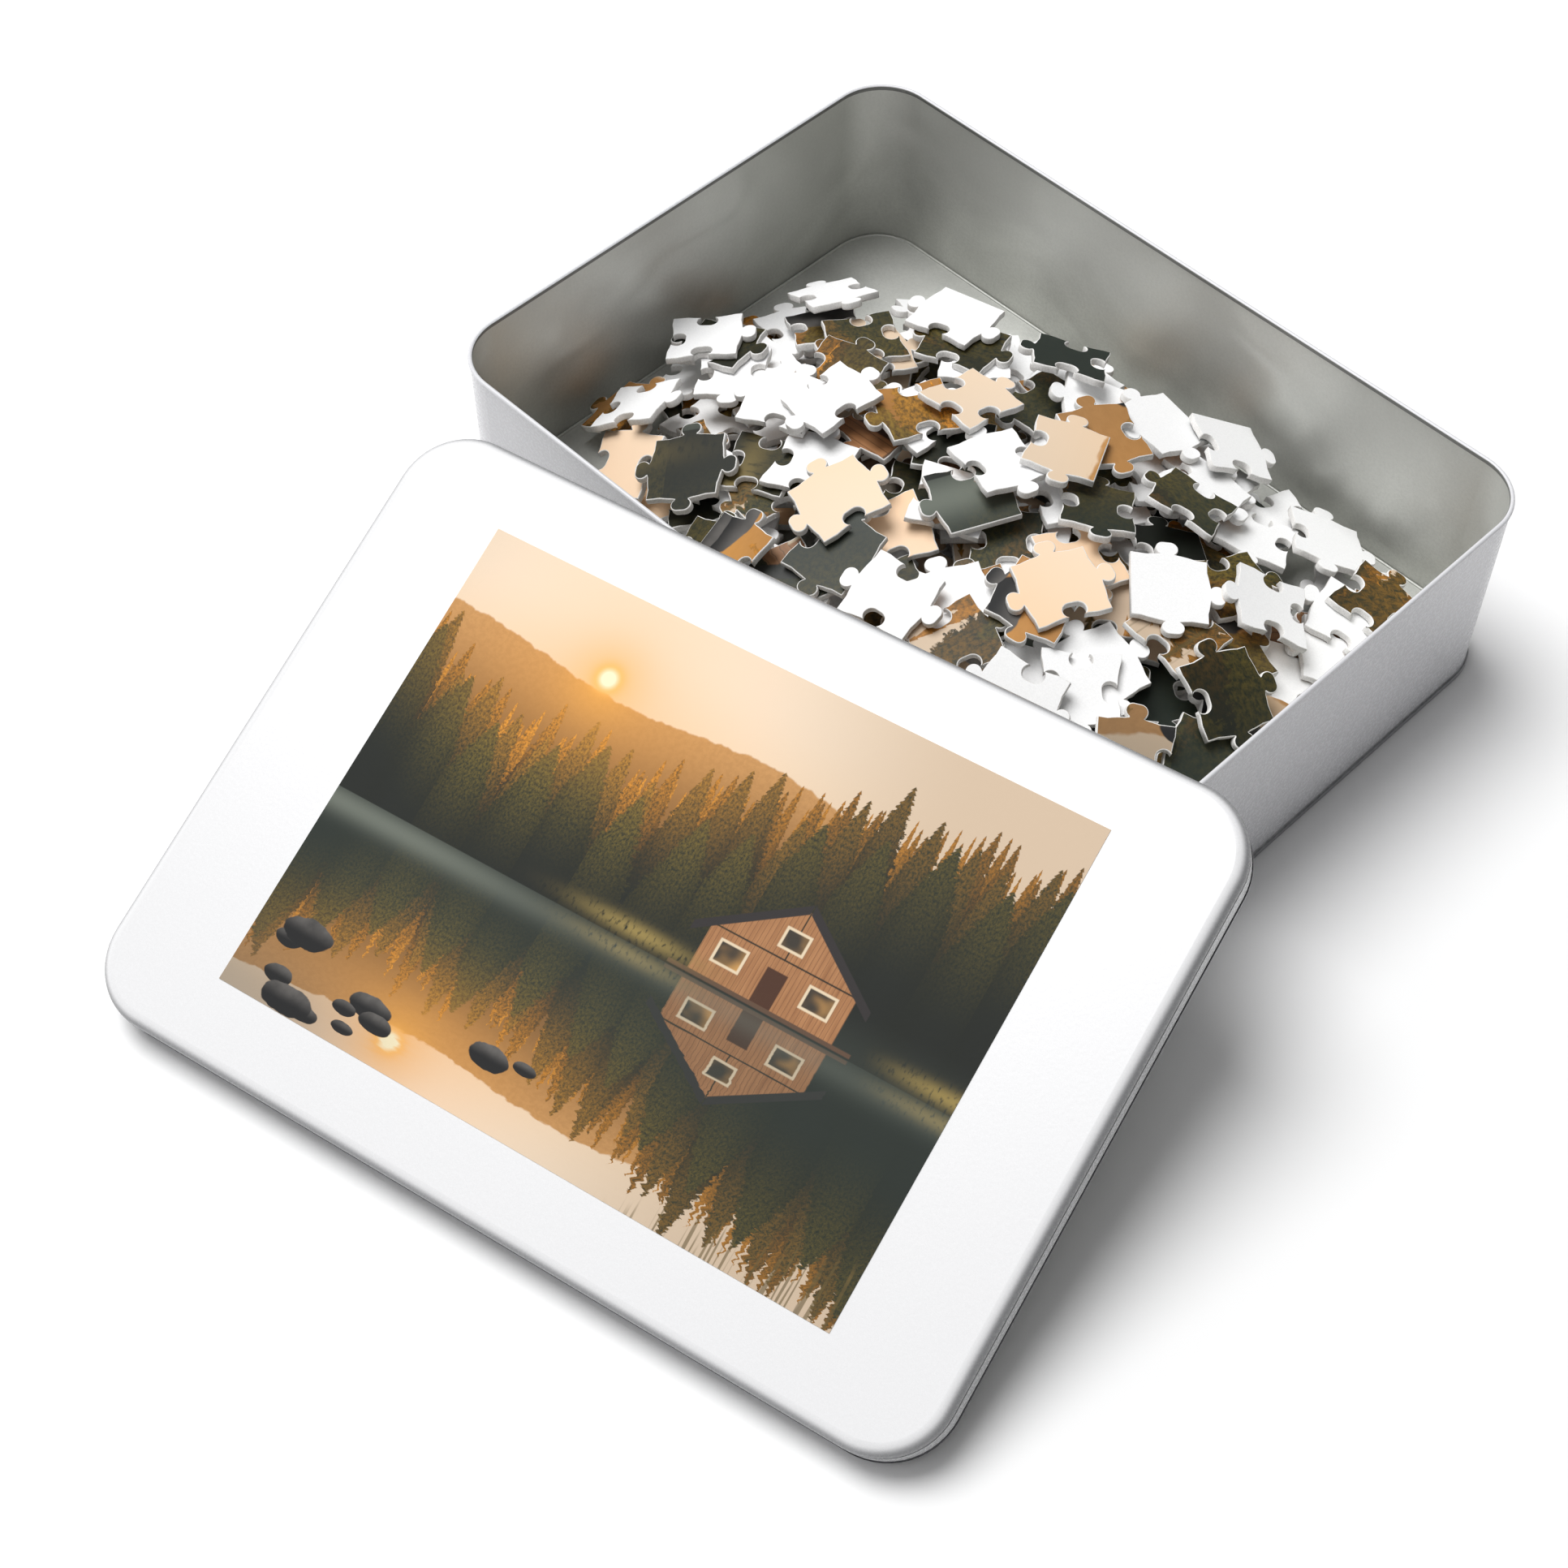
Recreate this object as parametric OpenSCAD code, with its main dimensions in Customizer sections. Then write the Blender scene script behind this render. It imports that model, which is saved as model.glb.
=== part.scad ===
// A boxed jigsaw puzzle: an open tin of loose pieces, with its printed lid leaning on the front rim.
// +X runs along the tin's long side, -Y is the front, where the lid leans, and +Z is up.
// The tin stands on z = 0, and the origin is under the middle of tin and lid together.

/* [Tin] */
// Length over the rolled rim
tin_l = 230; // [200:1:260]
// Width over the rolled rim
tin_w = 164; // [140:1:190]
// Height from the table to the top of the rim
tin_h = 60.5; // [50:0.5:75]
// Corner radius of the rim
tin_r = 16.5; // [16:0.5:25]
// Thickness of the tinplate
sheet = 0.4; // [0.3:0.05:0.8]
// Diameter of the rolled rim
rim_d = 1.3; // [1:0.1:2.5]
// Height of the bottom seam
seam_h = 2.2; // [1.5:0.1:4]
// How far the seam stands out from the wall
seam_out = 0.6; // [0.3:0.1:1.5]
// Height of the floor panel's top above the table
floor_h = 4.9; // [3:0.1:8]

/* [Lid] */
// Free space around the tin when the lid is on
lid_fit = 1.3; // [0.5:0.1:2.5]
// Height from the hem to the face
lid_h = 12; // [8:0.5:20]
// Radius of the shoulder between face and skirt
shoulder_r = 3.2; // [1.5:0.1:5]
// Depth of the crease under the shoulder
crease = 0.45; // [0.2:0.05:1]
// Diameter of the curled hem
hem_d = 1.5; // [1:0.1:2.5]
// How far the curled hem stands out from the skirt
hem_out = 0.3; // [0:0.1:0.7]
// Turn of the leaning lid against the tin
lid_yaw = 13.2; // [0:0.1:25]
// Space between the leaning lid and the rim that it rests on
lean_gap = 0.12; // [0.05:0.01:0.5]
// Middle of the lid's lower edge, from the middle of the tin
lid_x = 58.5; // [0:0.5:80]
// How far in front of the tin's middle that edge stands
lid_y = 224; // [200:0.5:260]

/* [Picture] */
// Length of the printed picture
picture_l = 169.5; // [120:0.5:200]
// Height of the printed picture
picture_w = 127.5; // [90:0.5:150]
// Thickness of the printed film
film = 0.15; // [0.1:0.05:0.5]

/* [Puzzle] */
// Pieces along the finished puzzle
columns = 18; // [12:1:18]
// Pieces up the finished puzzle
rows = 14; // [10:1:14]
// Length of one piece without its knobs
cell_l = 19.8; // [15:0.1:20]
// Height of one piece without its knobs
cell_w = 20; // [15:0.1:20]
// Thickness of the board
board = 2; // [1.5:0.1:2.5]
// Gap that the cutting die leaves round a knob
cut_gap = 0.05; // [0:0.01:0.15]

/* [Heap] */
// Pieces lying free on top, each a part of its own
loose = 20; // [4:1:20]
// Pieces in each node of the heap below them
per_layer = 8; // [7:1:24]
// Height of the mound over its edge
mound_h = 30; // [0:1:40]
// Air between pieces that lie on each other
rest_gap = 0.1; // [0.06:0.01:0.5]
// Steepest slope that a piece can lie at
steepest = 0.55; // [0.1:0.05:0.6]
// Another number gives another heap
seed = 11; // [1:1:99]

/* [Hidden] */
$fn = 48;
tiny = 0.0001;

wall_in = (rim_d - sheet) / 2;             // the rim overhangs the wall on both sides
wall_l = tin_l - 2 * wall_in;              // outside of the wall under the rim
wall_w = tin_w - 2 * wall_in;
wall_r = tin_r - wall_in;
room_l = wall_l - 2 * sheet;               // inside of the wall
room_w = wall_w - 2 * sheet;
room_r = wall_r - sheet;
seam_r = (seam_out + sheet) / 2;           // rounding of the seam's outer edges
bead_d = 0.9;                              // bead round the edge of the floor panel
floor_gap = 0.05;                          // between the floor panel and the wall

lid_l = tin_l + 2 * lid_fit;               // outside of the lid's skirt
lid_w = tin_w + 2 * lid_fit;
lid_r = tin_r + lid_fit;
face_lap = 1;                              // the ring of the shoulder reaches this far into the face
crease_drop = 0.55;                        // from the shoulder down to the middle of the crease
crease_z = lid_h - shoulder_r - crease_drop;
hem_l = lid_l + 2 * hem_out;               // outside of the curled hem
hem_w = lid_w + 2 * hem_out;
hem_r = lid_r + hem_out;
lean = asin((tin_h + lean_gap) / (hem_w - hem_d));
lean_drop = hem_d / 2 * (sin(lean) + cos(lean) - 1);
lid_along = [cos(lid_yaw), sin(lid_yaw)];  // the lower edge's direction on the table
lid_back = [-sin(lid_yaw), cos(lid_yaw)];  // from that edge toward the tin

piece_count = columns * rows;
heaped = piece_count - loose;
layers = ceil(heaped / per_layer);

// The knob: two round cheeks with a flat crown, on a neck between two hollow flanks.
knob_out = 2.55;                           // from the piece's edge to the middle of the cheeks
cheek_r = 2.05;
cheek_x = 0.9;
flank_r = 0.95;
neck = 3.2;                                // width of the neck between the flanks
flank_x = neck / 2 + flank_r;
flank_y = knob_out - sqrt(pow(cheek_r + flank_r, 2) - pow(flank_x - cheek_x, 2));
neck_x = flank_x - flank_r * (flank_x - cheek_x) / (cheek_r + flank_r);
knob_shift = 0.8;                          // a knob sits at most this far off the middle
knob_lean = 7;                             // and leans at most this many degrees
odd_knobs = 0.2;                           // share of knobs that break the pattern
knob_root = 0.6;                           // how deep the neck reaches into its own piece
swell_h = 0.8;                             // the side bows out this far on the way to the knob
swell_w = 13;                              // along this length
swell_r = (pow(swell_w / 2, 2) + pow(swell_h, 2)) / (2 * swell_h);
swell_shift = 1.2;                         // and its middle is at most this far off the side's

// A disc this wide holds a piece however it is turned: the far side of a shifted cheek.
reach = norm([knob_shift + cheek_x + knob_out * sin(knob_lean), cell_w / 2 + knob_out])
        + cheek_r + 0.1;
spare = floor_gap + bead_d + 0.1;          // that disc stays clear of the floor's bead
span = [room_l / 2 - reach - spare, room_w / 2 - reach - spare];

// The heap: each piece looks at a few places, takes the lowest against the mound, then tips
// toward the way it can sink. mound() is highest near the middle.
tries = 12;
tips = 9;
first_tip = 0.26;
tip_fade = 0.78;
mound_at = [10, -6];
mound_half = [132, 98];
bare = [45, 36];                           // the far left corner of the floor stays bare
lid_room = 1;                              // loose pieces lie at least this clear of the lid
darts = 1200;                              // places tried for the loose pieces
luck = rands(0, 1, piece_count * tries * 2, seed);
aim = rands(0, 1, darts * 2, seed + 1);
turns = rands(0, 360, piece_count, seed + 2);
cuts = rands(-1, 1, 8 * piece_count, seed + 3);
shuffle = 157;                             // has no factor in common with the piece count

// ---- the frame: the middle of tin and lid together, as their outlines reach along X and Y ----

function lid_reach(along, back, up) =
    abs(along) * (hem_l / 2 - hem_r) + norm([along, back]) * (hem_r - hem_d / 2)
    + abs(back) * (hem_w / 2 - hem_r) + norm([along, back, up]) * hem_d / 2;
lid_mid = [lid_x, -lid_y] + lid_back * (hem_w / 2 * cos(lean) - hem_d / 2 * sin(lean));
lid_half = [lid_reach(lid_along.x, lid_back.x * cos(lean), lid_back.x * sin(lean)),
            lid_reach(lid_along.y, lid_back.y * cos(lean), lid_back.y * sin(lean))];
seam_half = [wall_l, wall_w] / 2 + [seam_out, seam_out];
box_low = [min(-seam_half.x, lid_mid.x - lid_half.x), min(-seam_half.y, lid_mid.y - lid_half.y)];
box_high = [max(seam_half.x, lid_mid.x + lid_half.x), max(seam_half.y, lid_mid.y + lid_half.y)];
origin = (box_low + box_high) / 2;

// ---- where the pieces lie: [x, y, height of the underside, slope along X, slope along Y] ----

function at(i) = [i[0], i[1]];
function slope(i) = [i[3], i[4]];
function mound(c) =
    mound_h * max(0, 1 - pow((c.x - mound_at.x) / mound_half.x, 2)
                       - pow((c.y - mound_at.y) / mound_half.y, 2));
function somewhere(dice, n) = [(2 * dice[2 * n] - 1) * span.x, (2 * dice[2 * n + 1] - 1) * span.y];
function is_bare(c) = (c.x + span.x) / bare.x + (span.y - c.y) / bare.y < 1;
function behind_lid(c) =
    (c - [lid_x, -lid_y]) * lid_back > (hem_w + hem_d) * cos(lean) + reach + lid_room;

// The point of the two discs' common lens where the lower piece stands highest against slope s.
function crest(c, s, low) =
    let (g = slope(low) - s, n = norm(g), q = at(low), m = (c + q) / 2)
    n < tiny ? m :
    let (a = c + reach * g / n, b = q + reach * g / n)
    norm(a - q) <= reach ? a :
    norm(b - c) <= reach ? b :
    let (d = q - c, h = sqrt(max(0, reach * reach - d * d / 4)), k = [-d.y, d.x] / norm(d))
    k * g > 0 ? m + h * k : m - h * k;

function height_over(c, s, low, p) =
    low[2] + board * sqrt(1 + slope(low) * slope(low)) + rest_gap
    + slope(low) * (p - at(low)) - s * (p - c);

// [height, touching point] of a piece at c with slope s, on the floor or on the pieces near it.
function rest_on(c, s, near) =
    let (spots = [for (low = near) crest(c, s, low)],
         heights = [for (k = [0:1:len(near) - 1]) height_over(c, s, near[k], spots[k])],
         ground = floor_h + rest_gap + reach * norm(s),
         top = max(concat([ground], heights)))
    top == ground ? [ground, c - reach * s / max(norm(s), tiny)]
                  : [top, [for (k = [0:1:len(near) - 1]) if (heights[k] == top) spots[k]][0]];

function held(s) = norm(s) > steepest ? s * steepest / norm(s) : s;

function tipped(c, near, k, s, here, best) =
    k == tips ? best :
    let (way = here[1] - c, step = first_tip * pow(tip_fade, k),
         next = held(s + step * way / max(norm(way), tiny)),
         there = rest_on(c, next, near))
    tipped(c, near, k + 1, next, there, there[0] < best[0] ? [there[0], next] : best);

function near_to(c, done) = [for (low = done) if (norm(at(low) - c) < 2 * reach) low];

function settled(c, done) =
    let (near = near_to(c, done), flat = rest_on(c, [0, 0], near),
         best = tipped(c, near, 0, [0, 0], flat, [flat[0], [0, 0]]))
    [c.x, c.y, best[0], best[1].x, best[1].y];

function lowest_place(i, done) =
    let (spots = [for (t = [0:tries - 1]) let (c = somewhere(luck, i * tries + t)) if (!is_bare(c)) c],
         cost = [for (c = spots) rest_on(c, [0, 0], near_to(c, done))[0] - mound(c)],
         least = min(cost))
    [for (k = [0:len(spots) - 1]) if (cost[k] == least) spots[k]][0];

function heap(i, done) =
    i == heaped ? done : heap(i + 1, concat(done, [settled(lowest_place(i, done), done)]));

// Places on top that don't overlap in plan, so each of these pieces lifts straight out.
function free_places(n, got) =
    len(got) == loose || n == darts ? got :
    let (c = somewhere(aim, n), crowd = [for (o = got) if (norm(o - c) < 2 * (reach + rest_gap)) o],
         fits = !is_bare(c) && behind_lid(c) && len(crowd) == 0)
    free_places(n + 1, fits ? concat(got, [c]) : got);

buried = heap(0, []);
on_top = [for (c = free_places(0, [])) settled(c, buried)];

// ---- tin ----

module rounded(l, w, r) {
    square([l - 2 * r, w], center = true);
    square([l, w - 2 * r], center = true);
    for (x = [-1, 1], y = [-1, 1])
        translate([x * (l / 2 - r), y * (w / 2 - r)]) circle(r);
}

// Sweeps a profile round a rounded rectangle. x = 0 of the profile runs on the rectangle.
module ring(l, w, r) {
    for (side = [0:3]) {
        out = side % 2 == 0 ? l / 2 : w / 2;
        run = side % 2 == 0 ? w - 2 * r : l - 2 * r;
        rotate(90 * side) {
            translate([out, 0, 0]) rotate([90, 0, 0])
                linear_extrude(run, center = true) children();
            translate([out - r, run / 2, 0])
                rotate_extrude(angle = 90) translate([r, 0]) children();
        }
    }
}

module tin_wall() color("white") {
    difference() {
        translate([0, 0, seam_h]) linear_extrude(tin_h - rim_d / 2 - seam_h)
            rounded(wall_l, wall_w, wall_r);
        translate([0, 0, -1]) linear_extrude(tin_h + 2) rounded(room_l, room_w, room_r);
    }
    ring(tin_l, tin_w, tin_r) translate([-rim_d / 2, tin_h - rim_d / 2]) circle(d = rim_d);
}

// The floor panel is pressed up into the tin, with a small bead round its edge.
module tin_floor() color("silver") {
    l = room_l - 2 * floor_gap;
    w = room_w - 2 * floor_gap;
    r = room_r - floor_gap;
    difference() {
        linear_extrude(floor_h) rounded(l, w, r);
        translate([0, 0, -sheet]) linear_extrude(floor_h)
            rounded(l - 2 * sheet, w - 2 * sheet, r - sheet);
    }
    ring(l, w, r) translate([-bead_d / 2, floor_h]) circle(d = bead_d);
}

// The folded seam that holds floor and wall together, and that the tin stands on.
module tin_seam() color("gray")
    ring(wall_l, wall_w, wall_r) {
        translate([-sheet, 0]) square([seam_r, seam_h]);
        translate([-sheet, seam_r]) square([2 * seam_r, seam_h - 2 * seam_r]);
        for (z = [seam_r, seam_h - seam_r]) translate([seam_out - seam_r, z]) circle(seam_r);
    }

// ---- lid ----

// Stands a lid drawn flat, hem down, on its lower edge and leans it on the tin.
module leaning() {
    translate([lid_x, -lid_y, -lean_drop]) rotate(lid_yaw) rotate([lean, 0, 0])
        translate([0, hem_w / 2, 0]) children();
}

module lid_profile() {
    difference() {
        union() {
            translate([-shoulder_r, lid_h - shoulder_r]) circle(shoulder_r);
            translate([-shoulder_r, hem_d]) square([shoulder_r, lid_h - shoulder_r - hem_d]);
        }
        translate([-shoulder_r, lid_h - shoulder_r]) intersection() {
            circle(shoulder_r - sheet);
            square(shoulder_r);
        }
        translate([-2 * shoulder_r, -1]) square([2 * shoulder_r - sheet - crease, lid_h - shoulder_r + 1]);
        translate([-2 * shoulder_r, -1]) square([shoulder_r, lid_h + 2]);
        translate([0, crease_z]) circle(crease);
    }
    translate([-shoulder_r - face_lap, lid_h - sheet]) square([face_lap, sheet]);
}

module lid_shell() color("white") leaning() {
    ring(lid_l, lid_w, lid_r) lid_profile();
    translate([0, 0, lid_h - sheet]) linear_extrude(sheet)
        rounded(lid_l - 2 * shoulder_r, lid_w - 2 * shoulder_r, lid_r - shoulder_r);
}

module lid_hem() color("gray") leaning()
    ring(hem_l, hem_w, hem_r) translate([-hem_d / 2, hem_d / 2]) circle(d = hem_d);

module lid_picture() color("peru") leaning()
    translate([0, 0, lid_h]) linear_extrude(film)
        square([picture_l, picture_w], center = true);

// ---- puzzle pieces ----

module knob(grow) {
    for (x = [-cheek_x, cheek_x])
        translate([x, knob_out]) circle(cheek_r + grow);
    translate([-cheek_x, knob_out]) square([2 * cheek_x, cheek_r + grow]);
    difference() {
        translate([-neck_x, -knob_root]) square([2 * neck_x, knob_root + knob_out + 1]);
        for (x = [-flank_x, flank_x])
            translate([x, flank_y]) circle(flank_r - grow);
    }
}

// Side 0 is the right one, then round to the top, the left and the bottom.
// Two neighbours read the same cut, so the knob of one fits the socket of the other.
function owner(col, row, side) = [side == 2 ? col - 1 : col, side == 3 ? row - 1 : row];
function cut_of(col, row, side) =
    let (o = owner(col, row, side), n = 4 * (o[1] * columns + o[0]) + (side % 2) * 2)
    [cuts[n], cuts[n + 1]];
function is_border(col, row, side) =
    side == 0 ? col == columns - 1 : side == 1 ? row == rows - 1 : side == 2 ? col == 0 : row == 0;

// Most pieces have two knobs across from each other, and their neighbours the other two.
function sticks_out(col, row, side) =
    let (o = owner(col, row, side), odd = cut_of(col, row, side)[0] < 2 * odd_knobs - 1)
    (((o[0] + o[1] + side) % 2 == 0) != odd) == (side < 2);

module on_side(side, cut) {
    rotate(90 * side - 90)
        translate([0, (side % 2 == 0 ? cell_l : cell_w) / 2])
            children();
}

module knob_of(cut, grow) {
    translate([(2 * abs(cut[0]) - 1) * knob_shift, 0]) rotate(cut[1] * knob_lean) knob(grow);
    intersection() {
        translate([cut[1] * swell_shift, swell_h - swell_r]) circle(swell_r + grow, $fn = 180);
        translate([-swell_w, -knob_root]) square([2 * swell_w, 2 * knob_root + swell_h]);
    }
}

module outline(col, row) {
    sides = [for (side = [0:3]) if (!is_border(col, row, side)) side];
    difference() {
        union() {
            square([cell_l, cell_w], center = true);
            for (side = sides) if (sticks_out(col, row, side))
                on_side(side) knob_of(cut_of(col, row, side), 0);
        }
        for (side = sides) if (!sticks_out(col, row, side))
            on_side(side) rotate(180) knob_of(cut_of(col, row, side), cut_gap);
    }
}

// Lays piece number n of the box where the list of places says.
module piece(n, lie) {
    cell = (n * shuffle) % piece_count;
    s = slope(lie);
    translate([lie[0], lie[1], lie[2]])
        rotate(a = atan(norm(s)), v = norm(s) < tiny ? [0, 0, 1] : [s.y, -s.x, 0])
            rotate(turns[n]) linear_extrude(board)
                outline(cell % columns, floor(cell / columns));
}

module loose_piece(k) color("tan") piece(heaped + k, on_top[k]);

module heap_layer(k) color([0.4 + 0.5 * k / layers, 0.6, 0.5])
    for (n = [k * per_layer : min((k + 1) * per_layer, heaped) - 1]) piece(n, buried[n]);

// ---- nodes ----

function numbered(name, n) = [for (k = [1:n]) str(name, k < 10 ? "_0" : "_", k)];
loose_names = numbered("loose_piece", loose);
layer_names = numbered("heap_layer", layers);

module in_frame() translate([-origin.x, -origin.y, 0]) children();

in_frame() tin_wall();
in_frame() tin_floor();
in_frame() tin_seam();
in_frame() lid_shell();
in_frame() lid_hem();
in_frame() lid_picture();
for (k = [0:layers - 1])
    in_frame() heap_layer(k);
for (k = [0:loose - 1])
    in_frame() loose_piece(k);
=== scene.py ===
"""A tin of loose jigsaw pieces, open, with its printed lid leaning on the front rim."""
import math
import random

import bmesh
import bpy
import numpy as np
from mathutils import Matrix, Vector
from mathutils.geometry import delaunay_2d_cdt


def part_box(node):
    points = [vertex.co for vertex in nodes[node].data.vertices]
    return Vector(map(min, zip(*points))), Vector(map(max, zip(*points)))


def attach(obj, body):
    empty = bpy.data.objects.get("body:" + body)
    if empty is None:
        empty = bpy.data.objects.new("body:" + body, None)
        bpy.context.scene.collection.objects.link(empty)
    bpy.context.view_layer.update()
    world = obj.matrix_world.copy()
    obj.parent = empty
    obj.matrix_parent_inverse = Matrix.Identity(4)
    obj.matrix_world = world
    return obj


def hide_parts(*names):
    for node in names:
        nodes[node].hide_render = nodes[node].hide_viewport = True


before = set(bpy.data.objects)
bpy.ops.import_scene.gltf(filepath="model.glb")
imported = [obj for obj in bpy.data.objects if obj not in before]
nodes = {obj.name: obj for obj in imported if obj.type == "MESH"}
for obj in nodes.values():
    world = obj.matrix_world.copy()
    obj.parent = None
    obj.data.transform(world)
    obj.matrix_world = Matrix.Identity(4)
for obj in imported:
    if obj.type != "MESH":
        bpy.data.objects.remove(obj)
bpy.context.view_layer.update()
MM = 0.001

# ---------------------------------------------------------------- formulas as shader nodes


class Value:
    """A number or colour on its way through a node tree, so that a formula reads as one."""

    def __init__(self, tree, out):
        self.tree, self.out = tree, out

    def math(self, operation, *others):
        node = self.tree.nodes.new("ShaderNodeMath")
        node.operation = operation
        for socket, value in zip(node.inputs, (self,) + others):
            feed(self.tree, socket, value)
        return Value(self.tree, node.outputs[0])

    def __add__(self, other):
        return self.math("ADD", other)

    def __sub__(self, other):
        return self.math("SUBTRACT", other)

    def __mul__(self, other):
        return self.math("MULTIPLY", other)

    def __truediv__(self, other):
        return self.math("DIVIDE", other)

    def __rsub__(self, other):
        return (self * -1) + other

    __radd__, __rmul__ = __add__, __mul__

    def floor(self):
        return self.math("FLOOR")

    def fract(self):
        return self.math("FRACT")

    def abs(self):
        return self.math("ABSOLUTE")

    def min(self, other):
        return self.math("MINIMUM", other)

    def max(self, other):
        return self.math("MAXIMUM", other)

    def power(self, other):
        return self.math("POWER", other)

    def step(self, low, high):
        """0 below low, 1 above high and smooth between, or the other way when low > high."""
        node = self.tree.nodes.new("ShaderNodeMapRange")
        node.interpolation_type = "SMOOTHSTEP"
        flip = isinstance(low, (int, float)) and isinstance(high, (int, float)) and low > high
        ends = (high, low, 1, 0) if flip else (low, high, 0, 1)
        for socket, value in zip(node.inputs, (self,) + ends):
            feed(self.tree, socket, value)
        return Value(self.tree, node.outputs[0])

    def hill(self, middle, width):
        """1 at middle, falling away smoothly on both sides like a bell."""
        away = (self - middle) / width
        return (away * away * -1).math("EXPONENT")


def feed(tree, socket, value):
    """Link a Value to a socket, or set the socket to a constant."""
    if isinstance(value, Value):
        tree.links.new(value.out, socket)
    else:
        socket.default_value = value


def rgb(code):
    """A six-digit sRGB code as a linear colour."""
    parts = [int(code[i:i + 2], 16) / 255 for i in (0, 2, 4)]
    return tuple(c / 12.92 if c <= 0.04045 else ((c + 0.055) / 1.055) ** 2.4 for c in parts) + (1,)


def blend(factor, first, second):
    """first where factor is 0, second where it is 1. Colours are codes or Values."""
    tree = factor.tree
    node = tree.nodes.new("ShaderNodeMix")
    node.data_type, node.clamp_factor = "RGBA", True
    for name, value in (("Factor_Float", factor), ("A_Color", first), ("B_Color", second)):
        socket = next(s for s in node.inputs if s.identifier == name)
        feed(tree, socket, rgb(value) if isinstance(value, str) else value)
    return Value(tree, next(s for s in node.outputs if s.identifier == "Result_Color"))


def combine(tree, x, y, z=0.0):
    node = tree.nodes.new("ShaderNodeCombineXYZ")
    for socket, value in zip(node.inputs, (x, y, z)):
        feed(tree, socket, value)
    return Value(tree, node.outputs[0])


def split(tree, vector):
    node = tree.nodes.new("ShaderNodeSeparateXYZ")
    tree.links.new(vector, node.inputs[0])
    return [Value(tree, out) for out in node.outputs]


def noise(vector, scale, detail=2.0, roughness=0.5, distortion=0.0):
    node = vector.tree.nodes.new("ShaderNodeTexNoise")
    feed(vector.tree, node.inputs["Vector"], vector)
    for name, value in (("Scale", scale), ("Detail", detail), ("Roughness", roughness),
                        ("Distortion", distortion)):
        node.inputs[name].default_value = value
    return Value(vector.tree, node.outputs[0])


def dice(number, seed):
    """A fixed random number from 0 to 1 for each whole number."""
    node = number.tree.nodes.new("ShaderNodeTexWhiteNoise")
    node.noise_dimensions = "2D"
    feed(number.tree, node.inputs["Vector"], combine(number.tree, number + 0.5, seed + 0.5))
    return Value(number.tree, node.outputs["Value"])


# ---------------------------------------------------------------- the printed picture


WIDE = 1.33  # the print's width for a height of 1
SHORE = 0.578  # how far down the print the water starts


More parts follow.
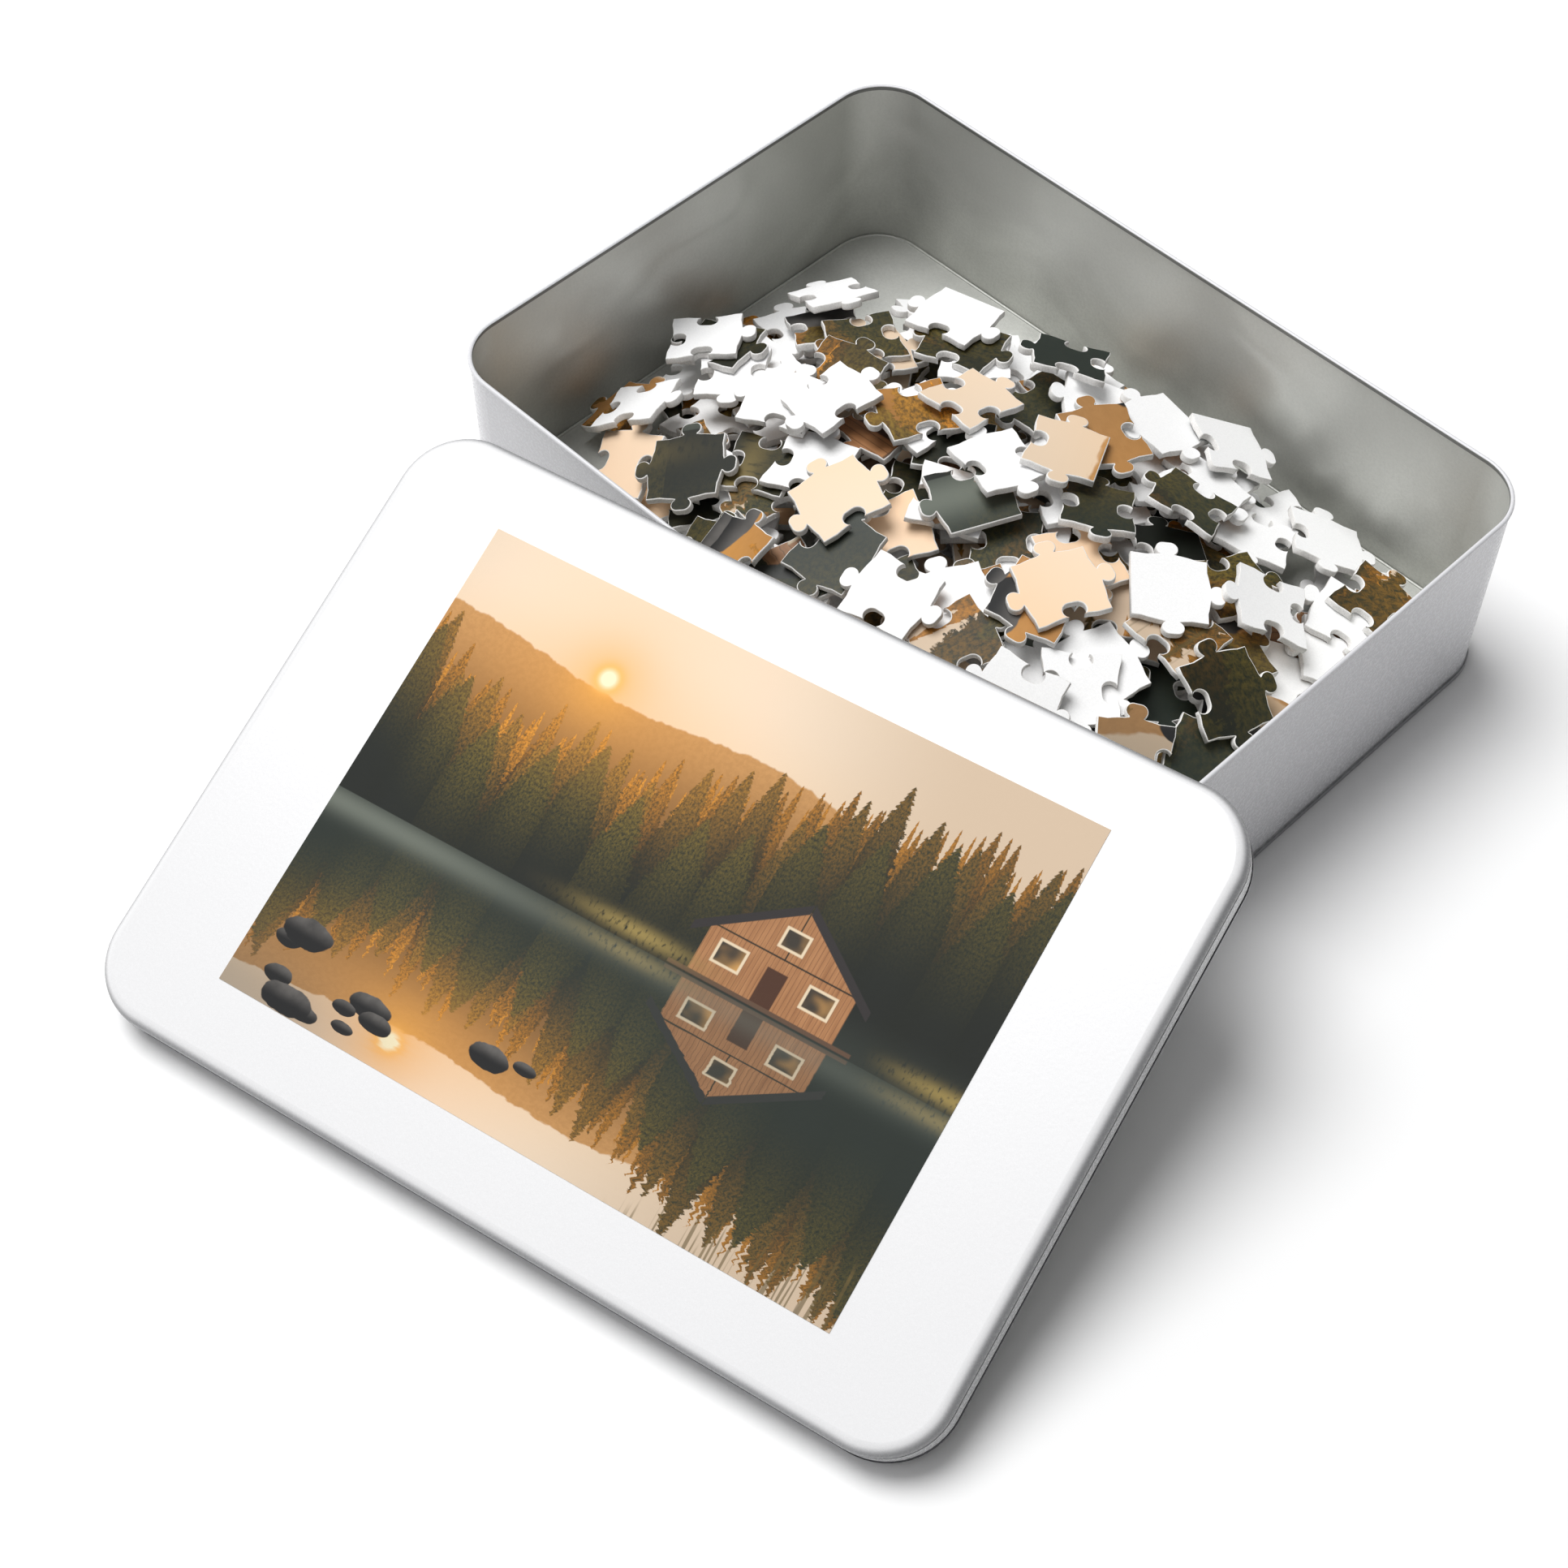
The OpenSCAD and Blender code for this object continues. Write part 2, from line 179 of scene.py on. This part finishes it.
def landscape(x, y):
    """What stands above the shore, x to the right and y down, both from 0 to 1."""
    tree = x.tree
    sun_x, sun_y = 0.27, 0.165
    dx, dy = (x - sun_x) * WIDE, y - sun_y
    away = (dx * dx + dy * dy).math("SQRT")
    glow = away.hill(0, 0.28)
    grain = noise(combine(tree, x * WIDE, y), 95, 3, 0.65)
    needle = noise(combine(tree, x * 2.0, y), 150, 3, 0.7)

    sky = blend(away.step(0.1, 0.75), "f8e6cf", "d2bba1")
    sky = blend(y.step(0.05, 0.3) * away.step(0.8, 0.05) * 0.6, sky, "f2c48a")
    ridge = 0.235 - x.hill(0.0, 0.3) * 0.08 - x.hill(0.55, 0.2) * 0.06
    ridge = ridge + (noise(combine(tree, x, 0.0), 38, 3) - 0.5) * 0.022
    hills = blend(grain.step(0.35, 0.65) * 0.35, "c8955c", "a87a48")
    picture = blend(y.step(ridge, ridge + 0.005), sky, blend(y.step(0.15, 0.35), hills, "8c6334"))

    tops = 0.07 + x.step(0.9, 0.35) * 0.16 - x.step(0.12, 0.0) * 0.08
    forests = (  # trees across, how far they stand below the tops, how far that varies, colours
        (49, 0.060, 0.05, "7c5622", "e2962e"),
        (35, 0.045, 0.07, "58431c", "d48a28"),
        (25, 0.040, 0.08, "3a351c", "c27f26"),
        (18, 0.030, 0.11, "2b2e1c", "a37529"),
        (12, 0.080, 0.10, "1f261a", "756428"),
    )
    for row, (count, drop, spread, shade, gold) in enumerate(forests):
        lane = x * count + row * 0.37
        tree_id = lane.floor()
        side = (lane.fract() - 0.5 + (dice(tree_id, row) - 0.5) * 0.34).abs()
        tip = tops + drop + (dice(tree_id, row + 7) - 0.45) * spread
        down = (y - tip) / 0.3
        limbs = (down * (22 + 3 * row)).fract() * 0.05 + (grain - 0.5) * 0.42 * down.step(0, 0.25)
        reach = down.max(0).power(0.85) * 0.85 + limbs
        mask = (reach - side).step(0.0, 0.04) * down.step(0, 0.012)
        lit = down.step(0.95, 0.0) * needle.step(0.3, 0.7) * (0.5 + away.hill(0, 0.4) * 0.9)
        leaf = blend(down.step(0.1, 1.1), shade, "171b16")
        leaf = blend(lit, leaf, gold)
        leaf = blend(side.step(0.1, 0.5) * 0.35, leaf, "14180f")
        picture = blend(mask, picture, leaf)
    picture = blend(glow * y.step(0.45, 0.2) * 0.34, picture, "f0a23e")
    picture = blend(y.step(0.48, 0.58) * x.step(0.45, 0.85) * 0.15, picture, "5c655c")

    def wall(x0, x1, top0, top1, bottom0, bottom1, colour, under):
        """A shape with upright sides at x0 and x1, and straight edges above and below."""
        along = (x - x0) / (x1 - x0)
        inside = (x - x0).step(0, 0.002) * (x1 - x).step(0, 0.002)
        top, bottom = along * (top1 - top0) + top0, along * (bottom1 - bottom0) + bottom0
        inside = inside * (y - top).step(0, 0.003) * (bottom - y).step(0, 0.003)
        return blend(inside, under, colour)

    boards = (x * 150).fract().step(0.0, 0.2)
    streak = noise(combine(tree, x * 60, y * 4), 3, 2)
    pine = blend(boards, "7a5336", blend(streak, "8a5a36", "c08b5e"))
    eaves, peak, ground = 0.475, 0.375, 0.57  # a plain cabin with a gable in the middle
    left, middle, right = 0.585, 0.70, 0.815
    picture = wall(left, right, eaves, eaves, ground, ground, pine, picture)
    for start, end, high, low in ((left, middle, eaves, peak), (middle, right, peak, eaves)):
        picture = wall(start, end, high, low, eaves, eaves, pine, picture)
    for start, end, high, low in ((left - 0.025, middle, eaves + 0.01, peak - 0.015),
                                  (middle, right + 0.025, peak - 0.015, eaves + 0.01)):
        picture = wall(start, end, high, low, high + 0.022, low + 0.022, "2e2a2a", picture)
    glass = blend(noise(combine(tree, x, y), 14, 2).step(0.4, 0.75), "3a342c", "d9a35c")
    for start, end, high, low in ((0.61, 0.65, 0.495, 0.535), (0.75, 0.79, 0.495, 0.535),
                                  (0.683, 0.717, 0.42, 0.455)):
        picture = wall(start - 0.004, end + 0.004, high - 0.005, high - 0.005, low + 0.005,
                       low + 0.005, "e3cfb0", picture)
        picture = wall(start, end, high, high, low, low, glass, picture)
    picture = wall(0.683, 0.717, 0.497, 0.497, ground, ground, "4a2c1c", picture)
    picture = wall(left - 0.03, right + 0.03, ground - 0.004, ground - 0.004, ground + 0.007,
                   ground + 0.007, "5d4636", picture)
    grass = noise(combine(tree, x * 3, y), 60, 3)
    bank = (x.step(0.85, 1.0) + x.hill(0.5, 0.09)).min(1) * grass.step(0.25, 0.5)
    picture = blend(bank * y.hill(0.555, 0.016), picture, "948048")

    halo = away.hill(0, 0.022) * 2 + away.hill(0, 0.075) * 0.5
    return blend(away.hill(0, 0.016) * 2, blend(halo, picture, "ffb347"), "fff0c8")


def picture_group():
    """The print as a node group: place on the print in, colour out."""
    tree = bpy.data.node_groups.new("print", "ShaderNodeTree")
    tree.interface.new_socket("Place", in_out="INPUT", socket_type="NodeSocketVector")
    tree.interface.new_socket("Color", in_out="OUTPUT", socket_type="NodeSocketColor")
    x, up, _ = split(tree, tree.nodes.new("NodeGroupInput").outputs[0])
    y = 1 - up
    depth = y - SHORE
    ripple = noise(combine(tree, x * 9, y * 70), 1.6, 2) - 0.5
    water = depth.step(0, 0.002)
    mirror_x = x + ripple * depth.max(0) * 0.05
    mirror_y = SHORE - depth * 1.13 + ripple * depth.max(0) * 0.04
    seen_x = x + water * (mirror_x - x)
    seen_y = y + water * (mirror_y - y)
    seen = landscape(seen_x, seen_y)

    lake = blend(0.36 + depth.step(0.12, 0.3) * -0.26, seen, "2f3a34")
    mist = depth.hill(0.025, 0.025) * (0.2 + x.step(0.5, 0.1) * 0.45)
    lake = blend(mist, lake, "7d8378")
    lake = blend(depth.step(0.2, 0.42) * x.step(0.38, 0.05) * 0.55, lake, "40413b")
    picture = blend(water, seen, lake)
    rough = noise(combine(tree, x * WIDE, y), 26, 3)
    draw, rocks = random.Random(8), 11
    for _ in range(rocks):
        half_w = draw.uniform(0.018, 0.045)
        half_h = half_w * draw.uniform(0.55, 0.75)
        rx = (x - draw.uniform(0.02, 0.46)) / half_w
        ry = (y - draw.uniform(0.84, 0.98)) / half_h
        solid = (rx * rx + ry * ry).math("SQRT") + (rough - 0.5) * 0.5
        stone = blend(ry.step(0.3, -0.9) * rough, "1b1b1c", "7c7874")
        picture = blend(solid.step(1.0, 0.93), picture, stone)
    lean = x + (y - 1) * (noise(combine(tree, x * 30, 0.0), 1) - 0.5) * 0.25
    reed = noise(combine(tree, lean * 150, y * 1.2), 1, 0)
    tall = 1.13 + noise(combine(tree, lean * 60, 3.0), 1, 0) * 0.16 - x * 0.35
    reeds = reed.step(0.56, 0.62) * y.step(tall, tall + 0.05) * x.step(0.6, 0.72)
    picture = blend(reeds * 0.7, picture, blend(rough, "2c2a1a", "806a3a"))
    out = tree.nodes.new("NodeGroupOutput")
    tree.links.new(picture.out, out.inputs[0])
    return tree


# ---------------------------------------------------------------- materials


class Surface:
    """A material with one Principled shader, whose sockets take numbers or Values."""

    def __init__(self, name, **fixed):
        self.material = bpy.data.materials.new(name)
        self.material.use_nodes = True
        self.tree = self.material.node_tree
        self.shader = next(n for n in self.tree.nodes if n.type == "BSDF_PRINCIPLED")
        for socket, value in fixed.items():
            self.set(socket.replace("_", " "), value)

    def set(self, socket, value):
        feed(self.tree, self.shader.inputs[socket],
             rgb(value) if isinstance(value, str) else value)

    def place(self):
        """Where a point is on its piece, in millimetres."""
        node = self.tree.nodes.new("ShaderNodeTexCoord")
        scale = self.tree.nodes.new("ShaderNodeVectorMath")
        scale.operation = "SCALE"
        self.tree.links.new(node.outputs["Object"], scale.inputs[0])
        scale.inputs["Scale"].default_value = 1 / MM
        return Value(self.tree, scale.outputs[0])

    def bump(self, height, strength):
        """Relief from a height in millimetres."""
        node = self.tree.nodes.new("ShaderNodeBump")
        node.inputs["Strength"].default_value = strength
        node.inputs["Distance"].default_value = MM
        feed(self.tree, node.inputs["Height"], height)
        self.set("Normal", Value(self.tree, node.outputs[0]))

    def print_at(self, vector):
        """The print's colour, where vector runs from 0 to 1 across and up."""
        node = self.tree.nodes.new("ShaderNodeGroup")
        node.node_tree = picture_tree
        feed(self.tree, node.inputs[0], vector)
        return Value(self.tree, node.outputs[0])


def stretched(vector, x, y, z):
    node = vector.tree.nodes.new("ShaderNodeVectorMath")
    node.operation = "MULTIPLY"
    feed(vector.tree, node.inputs[0], vector)
    node.inputs[1].default_value = (x, y, z)
    return Value(vector.tree, node.outputs[0])


def dot(vector, direction):
    node = vector.tree.nodes.new("ShaderNodeVectorMath")
    node.operation = "DOT_PRODUCT"
    feed(vector.tree, node.inputs[0], vector)
    node.inputs[1].default_value = direction
    return Value(vector.tree, node.outputs["Value"])


def outline_distance(x, y, half_x, half_y, radius):
    """How far a point stands out of a rounded rectangle; negative inside."""
    qx, qy = x.abs() - (half_x - radius), y.abs() - (half_y - radius)
    ax, ay = qx.max(0), qy.max(0)
    return (ax * ax + ay * ay).math("SQRT") + qx.max(qy).min(0) - radius


TINPLATE_METALLIC = 0.65
RELIEF = 0.5  # strength of most bumps


def tinplate(place, along):
    """Bare tinplate, cloudy grey with a mottled grain and paler as along rises from 10 to 56 mm,
    so that it is darker low down as painted shade.

    Returns its colour, its relief and its grain.
    """
    cloud = noise(place, 0.022, 2, 0.5, 1.2)
    grain = noise(place, 1.1, 3, 0.8)
    ripple = noise(stretched(place, 1, 1, 1.8), 0.04, 0, 0.4, 0.7)
    metal = blend(cloud.step(0.25, 0.75), "c0c1bc", "dadbd6")
    metal = blend(grain.step(0.3, 0.75) * 0.3, metal, "a6a7a2")
    # painted shade: the metal is darker low in the tin and paler as along rises towards the rim
    metal = blend(along.step(10, 56) * 0.5, metal, "e8e9e5")
    return metal, cloud + ripple * 1.6 + grain * 0.03, grain


def lacquer_and_tinplate(surface, outside, place, along, whites, peeling):
    """White lacquer where outside is 1 and bare tinplate where it is 0.

    whites are the lacquer's two colours, and peeling is the height of its orange peel.
    """
    metal, relief, grain = tinplate(place, along)
    speck = noise(place, 3.0, 2)
    white = blend(speck * 0.25, *whites)
    surface.set("Base Color", blend(outside, metal, white))
    surface.set("Metallic", (1 - outside) * TINPLATE_METALLIC)
    surface.set("Roughness", 0.44 + grain * 0.14 - outside * 0.24)
    peel = noise(place, 0.95, 2, 0.5)
    surface.bump(peel * peeling * outside + relief * (1 - outside), RELIEF)


def paint(node, surface):
    mesh = nodes[node].data
    mesh.materials.clear()
    mesh.materials.append(surface.material)


picture_tree = picture_group()

# tin: its outline comes from the CAD box. These are in mm: the corner's radius, the height of
# the rolled rim, and how far in from the outline the lacquer of the wall and of the rim ends.
low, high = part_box("tin_wall")
tin_mid = (low + high) / 2 / MM
tin_half = (high - low) / 2 / MM
TIN_R, BEAD, WALL_SKIN, RIM_SKIN = 16.5, 1.3, 0.65, 1.15

tin = Surface("tin_lacquer")
place = tin.place()
px, py, pz = split(tin.tree, place.out)
d = outline_distance(px - tin_mid.x, py - tin_mid.y, tin_half.x, tin_half.y, TIN_R)
bead = (pz - (high.z / MM - BEAD)).step(0.0, 0.1)
outside = (d + WALL_SKIN + bead * (RIM_SKIN - WALL_SKIN)).step(-0.03, 0.03)
lacquer_and_tinplate(tin, outside, place, pz, ("dedee1", "d6d6d9"), 0.01)
# painted shadow: a dark line on the bare inner side of the rolled rim
bare_bead_painted_shadow = (pz - (high.z / MM - BEAD - 0.5)).step(0.0, 0.1) * (1 - outside)
colour = Value(tin.tree, tin.shader.inputs["Base Color"].links[0].from_socket)
tin.set("Base Color", blend(bare_bead_painted_shadow * 0.8, colour, "6c6d6c"))
paint("tin_wall", tin)

floor = Surface("tin_floor_metal", Metallic=0.4)
place = floor.place()
metal, relief, grain = tinplate(place, place * 0)
floor.set("Base Color", metal)
floor.set("Roughness", 0.4 + grain * 0.14)
floor.bump(relief, RELIEF)
paint("tin_floor", floor)

seam = Surface("seam_metal", Metallic=1.0)
place = seam.place()
grain = noise(stretched(place, 1, 1, 4), 0.8, 3)
seam.set("Base Color", blend(grain, "77777a", "c9c9cc"))
seam.set("Roughness", 0.22 + grain * 0.2)
seam.bump(grain * 0.05, RELIEF)
paint("tin_seam", seam)

# lid: its axes are the picture's edges, and heights count from the picture's face
corners = {tuple(round(c, 7) for c in v.co) for v in nodes["lid_picture"].data.vertices}
corners = [Vector(c) for c in corners]
lid_mid = sum(corners, Vector()) / len(corners)
poly = max(nodes["lid_picture"].data.polygons, key=lambda p: (round(p.area, 8), p.normal.z))
face_up = poly.normal.copy()
spans = sorted(((b - a) for a in corners for b in corners if (b - a).length > 0.1
                and abs((b - a).dot(face_up)) < 1e-5), key=lambda e: e.length)
edges = sorted({round(e.length, 5) for e in spans})
print_h, print_w = edges[0], edges[1]
lid_x = next(e for e in spans if abs(e.length - print_w) < 1e-5 and e.x > 0).normalized()
lid_y = face_up.cross(lid_x)
print_top = max(c.dot(face_up) for c in corners)

lid = Surface("lid_lacquer")
place = lid.place()
off_x = dot(place, lid_x) - lid_mid.dot(lid_x) / MM
off_y = dot(place, lid_y) - lid_mid.dot(lid_y) / MM
off_z = dot(place, face_up) - print_top / MM
# in mm: half the lid's outline, its corners' radius, the radius of its shoulder, the height of the
# crease under that, the print's thickness, and how deep the lacquer goes
LID_HALF, LID_R = (116.3, 83.3), 17.8
SHOULDER, CREASE, PRINT, SKIN, SKIRT_SKIN = 3.2, -3.9, 0.15, 0.2, 0.6
d = outline_distance(off_x, off_y, *LID_HALF, LID_R)
core_d, core_z = (d + SHOULDER).max(0), (off_z + SHOULDER + PRINT).max(0)
arc = (core_d * core_d + core_z * core_z).math("SQRT")
skirt = (d + SKIRT_SKIN).step(-0.05, 0.05) * off_z.step(-SHOULDER, -SHOULDER - SKIN)
outside = (arc - (SHOULDER - SKIN)).step(-0.05, 0.05).max(skirt)
lacquer_and_tinplate(lid, outside, place, off_z, ("e9e9ea", "e0e0e2"), 0.025)
# painted shade: the rounded edge is painted a little darker, and the crease darker still
above = off_z.step(CREASE - 0.4, CREASE + 0.2)
painted_edge_shade = d.step(-2.1, -0.4) * (0.25 + above * 0.55)
painted_edge_shade = painted_edge_shade + off_z.hill(CREASE, 0.4) * d.step(-0.8, -0.6) * 1.5
shade = Value(lid.tree, lid.shader.inputs["Base Color"].links[0].from_socket)
lid.set("Base Color", blend(painted_edge_shade * outside, shade, "6e6f72"))
paint("lid_shell", lid)

hem = Surface("hem_metal", Metallic=1.0)
place = hem.place()
grain = noise(place, 0.5, 3)
HEM_LOW, HEM_HIGH = -11.5, -11.2  # below this the curl gets a painted shine, and above it a painted shade
curl = dot(place, face_up) - print_top / MM
# painted shade in the hem's dark colour, with a painted highlight on the curl below it
shaded = blend(grain, "2c2c2e", "5c5c60")
hem.set("Base Color", blend(curl.step(HEM_HIGH, HEM_LOW), shaded, "d4d4d8"))
hem.set("Roughness", 0.2 + grain * 0.12)
hem.bump(grain * 0.05, 0.4)
paint("lid_hem", hem)

ink = Surface("lid_print", Roughness=0.55, Specular_IOR_Level=0.2)
place = ink.place()
across = (dot(place, lid_x) - lid_mid.dot(lid_x) / MM) / (print_w / MM) + 0.5
upward = (dot(place, lid_y) - lid_mid.dot(lid_y) / MM) / (print_h / MM) + 0.5
ink.set("Base Color", ink.print_at(combine(ink.tree, across, upward)))
ink.bump(noise(place, 0.75, 2) * 0.05, 0.35)
paint("lid_picture", ink)

# puzzle pieces: printed paper, white back and grey board
UV = "cell"
front = Surface("piece_print", Roughness=0.5, Specular_IOR_Level=0.3)
node = front.tree.nodes.new("ShaderNodeUVMap")
node.uv_map = UV
place = front.place()
front.set("Base Color", front.print_at(Value(front.tree, node.outputs[0])))
front.bump(noise(place, 4, 2) * 0.02 + noise(place, 0.25, 1) * 0.05, 0.4)

back = Surface("piece_back", Roughness=0.75)
place = back.place()
fibre = noise(place, 2.2, 4, 0.7)
back.set("Base Color", blend(fibre.step(0.3, 0.7), "f3f3f3", "fbfbfb"))
back.bump(fibre * 0.04, RELIEF)

edge = Surface("piece_board", Roughness=0.85)
place = edge.place()
fibre = noise(place, 2.6, 4, 0.75)
edge.set("Base Color", blend(fibre.step(0.3, 0.75), "dedcd9", "f8f7f5"))
edge.bump(fibre * 0.08, RELIEF)

# ---------------------------------------------------------------- puzzle pieces

CELL = (19.8 * MM, 20 * MM)
COLUMNS, ROWS = 18, 14
BOARD = 2 * MM
PRINTED = 0.52  # share of pieces that lie with the print up
GOLDEN = 0.618  # steps by this spread the printed ones evenly
SHORTEST = 0.1 * MM  # points of an outline that lie closer than this are one
FEWEST = 40  # a piece's flat side has more corners than this, and no other face has
# how far the outline draws in at each depth below the printed side, then at the back
PRESSED = ((0, 0.3), (0.08, 0.12), (0.22, 0.03), (0.45, 0))
TRIMMED = ((0.22, 0), (0.06, 0.05), (0, 0.16))


def caps(mesh):
    """The flat sides of each loose solid in a mesh: one outline each, seen from above."""
    work = bmesh.new()
    work.from_mesh(mesh)
    bmesh.ops.remove_doubles(work, verts=work.verts, dist=1e-6)
    bmesh.ops.dissolve_limit(work, angle_limit=0.01, verts=work.verts, edges=work.edges)
    found = []
    for face in work.faces:
        if len(face.verts) > FEWEST and face.normal.z > 0:
            found.append((np.array([v.co for v in face.verts]), np.array(face.normal)))
    work.free()
    return sorted(found, key=lambda f: tuple(f[0].mean(0).round(6)))


def thinned(points):
    """The outline without points that almost coincide."""
    kept = [points[0]]
    for point in points[1:]:
        if np.linalg.norm(point - kept[-1]) > SHORTEST:
            kept.append(point)
    return np.array(kept)


def cell_axes(points, normal):
    """The middle of the piece's cell and the directions of its sides."""
    a = np.cross(normal, (0.0, 1.0, 0.0))
    a /= np.linalg.norm(a)
    b = np.cross(normal, a)
    run = np.roll(points, -1, 0) - points
    length = np.linalg.norm(run, axis=1)
    long = length > MM
    theta = np.arctan2(run @ b, run @ a)[long]
    turn = math.atan2((length[long] * np.sin(4 * theta)).sum(),
                      (length[long] * np.cos(4 * theta)).sum()) / 4
    x = math.cos(turn) * a + math.sin(turn) * b
    y = np.cross(normal, x)
    ends = np.concatenate([points[long], np.roll(points, -1, 0)[long]])
    straight = np.concatenate([run[long]] * 2) / np.concatenate([length[long]] * 2)[:, None]
    middle = 0
    for axis, other in ((x, y), (y, x)):
        reach = (ends @ axis)[np.abs(straight @ other) > 0.99]
        middle = middle + (reach.min() + reach.max()) / 2 * axis
    return middle + (points.mean(0) @ normal) * normal, x, y


def add_piece(work, uv, points, normal, cell, printed, quarter):
    """One piece from the outline of its upper side: rings down the edge, and two flat sides."""
    points = thinned(points)
    middle, x, y = cell_axes(points, normal)
    flat = [Vector(((p - middle) @ x / MM, (p - middle) @ y / MM)) for p in points]
    _, _, triangles, source, _, _ = delaunay_2d_cdt(flat, [], [list(range(len(flat)))], 1, 1e-5)
    before, after = points - np.roll(points, 1, 0), np.roll(points, -1, 0) - points
    before /= np.linalg.norm(before, axis=1)[:, None]
    after /= np.linalg.norm(after, axis=1)[:, None]
    inward = np.cross(normal, before) + np.cross(normal, after)
    inward /= np.maximum((inward ** 2).sum(1) / 2, 1.2)[:, None]
    top, bottom = (PRESSED, TRIMMED[::-1]) if printed else (TRIMMED[::-1], PRESSED)
    levels = [(down * MM, inset * MM) for down, inset in top]
    levels += [(BOARD - up * MM, inset * MM) for up, inset in bottom[::-1]]
    rings = [[work.verts.new(p) for p in points - normal * down + inward * inset]
             for down, inset in levels]
    upper, lower = [], []
    for a, b, c in ([source[corner][0] for corner in triangle] for triangle in triangles):
        if np.cross(points[b] - points[a], points[c] - points[a]) @ normal < 0:
            b, c = c, b
        upper.append(work.faces.new((rings[0][a], rings[0][b], rings[0][c])))
        lower.append(work.faces.new((rings[-1][a], rings[-1][c], rings[-1][b])))
    shown, hidden = (upper, lower) if printed else (lower, upper)
    for face in hidden:
        face.material_index = 1
    for k in range(len(rings) - 1):
        for i in range(len(points)):
            j = (i + 1) % len(points)
            face = work.faces.new((rings[k][i], rings[k + 1][i], rings[k + 1][j], rings[k][j]))
            face.material_index, face.smooth = 2, True
    for _ in range(quarter):
        x, y = y, -x
    side = 1 if printed else -1
    for face in shown:
        for loop in face.loops:
            off = np.array(loop.vert.co) - middle
            loop[uv].uv = ((cell[0] + 0.5 + side * (off @ x) / CELL[0]) / COLUMNS,
                           (cell[1] + 0.5 + (off @ y) / CELL[1]) / ROWS)


def puzzle():
    """Replace each puzzle node with finer pieces, each with its own cell of the print."""
    draw = random.Random(4)
    cells = [(c, r) for c in range(COLUMNS) for r in range(ROWS)]
    draw.shuffle(cells)
    names = sorted(n for n in nodes if n.startswith(("heap_layer_", "loose_piece_")))
    for name in names:
        work = bmesh.new()
        uv = work.loops.layers.uv.new(UV)
        for points, normal in caps(nodes[name].data):
            printed = len(cells) * GOLDEN % 1 < PRINTED
            add_piece(work, uv, points, normal, cells.pop(), printed, draw.randrange(4))
        mesh = bpy.data.meshes.new(name + "_board")
        work.to_mesh(mesh)
        work.free()
        for surface in (front, back, edge):
            mesh.materials.append(surface.material)
        piece = bpy.data.objects.new(name + "_board", mesh)
        bpy.context.collection.objects.link(piece)
        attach(piece, "tin" if name.startswith("heap") else name + "_body")
        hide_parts(name)


puzzle()

# ---------------------------------------------------------------- studio


def studio():
    """A white table, one large soft light, and a sky that is bright on the window's side."""
    scene = bpy.context.scene
    scene.view_settings.view_transform = "Standard"
    mesh = bpy.data.meshes.new("table")
    size = 4.0  # half the table's side, in metres
    mesh.from_pydata([(-size, -size, 0), (size, -size, 0), (size, size, 0), (-size, size, 0)],
                     [], [(0, 1, 2, 3)])
    table = bpy.data.objects.new("table", mesh)
    scene.collection.objects.link(table)
    white = Surface("table_white", Base_Color=(0.94, 0.94, 0.94, 1), Roughness=0.9)
    mesh.materials.append(white.material)

    world = bpy.data.worlds.new("studio")
    scene.world = world
    world.use_nodes = True
    tree = world.node_tree
    sky = next(n for n in tree.nodes if n.type == "BACKGROUND")
    east, north, height = split(tree, tree.nodes.new("ShaderNodeTexCoord").outputs["Generated"])
    rim = blend((east + north).step(1.0, -1.2), "0c0c0e", "dcdce0")
    toward_window = height - (east * 1.5 + north * 0.7) * 0.42
    feed(tree, sky.inputs["Color"], blend(toward_window.step(0.05, 0.95), rim, "ffffff"))
    sky.inputs["Strength"].default_value = 0.52
    paper = tree.nodes.new("ShaderNodeBackground")
    paper.inputs["Color"].default_value = (0.86, 0.86, 0.86, 1)
    seen = tree.nodes.new("ShaderNodeMixShader")  # the camera sees plain paper, not the sky
    ray = tree.nodes.new("ShaderNodeLightPath")
    out = next(n for n in tree.nodes if n.type == "OUTPUT_WORLD")
    tree.links.new(ray.outputs["Is Camera Ray"], seen.inputs[0])
    tree.links.new(sky.outputs["Background"], seen.inputs[1])
    tree.links.new(paper.outputs["Background"], seen.inputs[2])
    tree.links.new(seen.outputs["Shader"], out.inputs["Surface"])

    def softbox(name, place, aim, width, power):
        data = bpy.data.lights.new(name, "AREA")
        data.shape, data.size, data.energy = "DISK", width, power
        lamp = bpy.data.objects.new(name, data)
        scene.collection.objects.link(lamp)
        lamp.location = place
        lamp.rotation_euler = (Vector(aim) - Vector(place)).to_track_quat("-Z", "Y").to_euler()

    softbox("key", (-1.5, -0.15, 3.9), (0, 0, 0), 2.7, 158)


def camera():
    azimuth, elevation, roll = (math.radians(a) for a in (45.78, 53.27, -0.18))
    target, distance, lens = Vector((-0.0113, -0.0024, 0)), 0.6932, 61.93
    toward = Vector((math.sin(azimuth) * math.cos(elevation),
                     -math.cos(azimuth) * math.cos(elevation), math.sin(elevation)))
    right = Vector((math.cos(azimuth), math.sin(azimuth), 0))
    up = toward.cross(right)
    right, up = (right * math.cos(roll) + up * math.sin(roll),
                 up * math.cos(roll) - right * math.sin(roll))
    data = bpy.data.cameras.new("camera")
    data.sensor_width, data.lens = 36, lens
    data.clip_start, data.clip_end = 0.01, 20
    eye = bpy.data.objects.new("camera", data)
    bpy.context.scene.collection.objects.link(eye)
    spot = target + toward * distance
    eye.matrix_world = Matrix.Translation(spot) @ Matrix((right, up, toward)).transposed().to_4x4()
    bpy.context.scene.camera = eye


studio()
camera()
